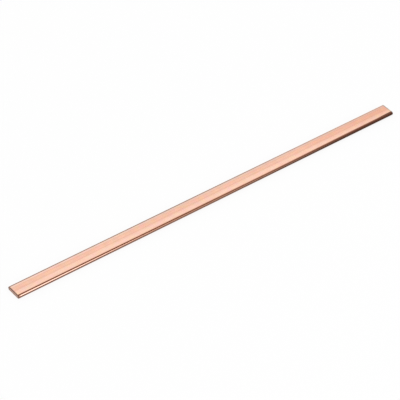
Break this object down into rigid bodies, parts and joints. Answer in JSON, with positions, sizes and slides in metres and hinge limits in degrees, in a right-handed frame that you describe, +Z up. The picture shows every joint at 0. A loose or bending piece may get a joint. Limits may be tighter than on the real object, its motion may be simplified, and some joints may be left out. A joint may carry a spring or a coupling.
{
  "type": "copper flat bar",
  "caption": "Straight length of drawn solid copper flat bar with full round long edges and square sawn ends, lying flat.",
  "frame": {"origin": "under the middle of the bar, on the surface it lies on", "axes": "+X along the bar's length, +Y across its width, +Z up through its thickness"},
  "size_m": [0.5, 0.016, 0.004],
  "materials": {
    "copper": "bright drawn copper, satin, with fine lengthwise die lines"
  },
  "bodies": {
    "root": {"flat_bar": "copper"}
  },
  "joints": []
}
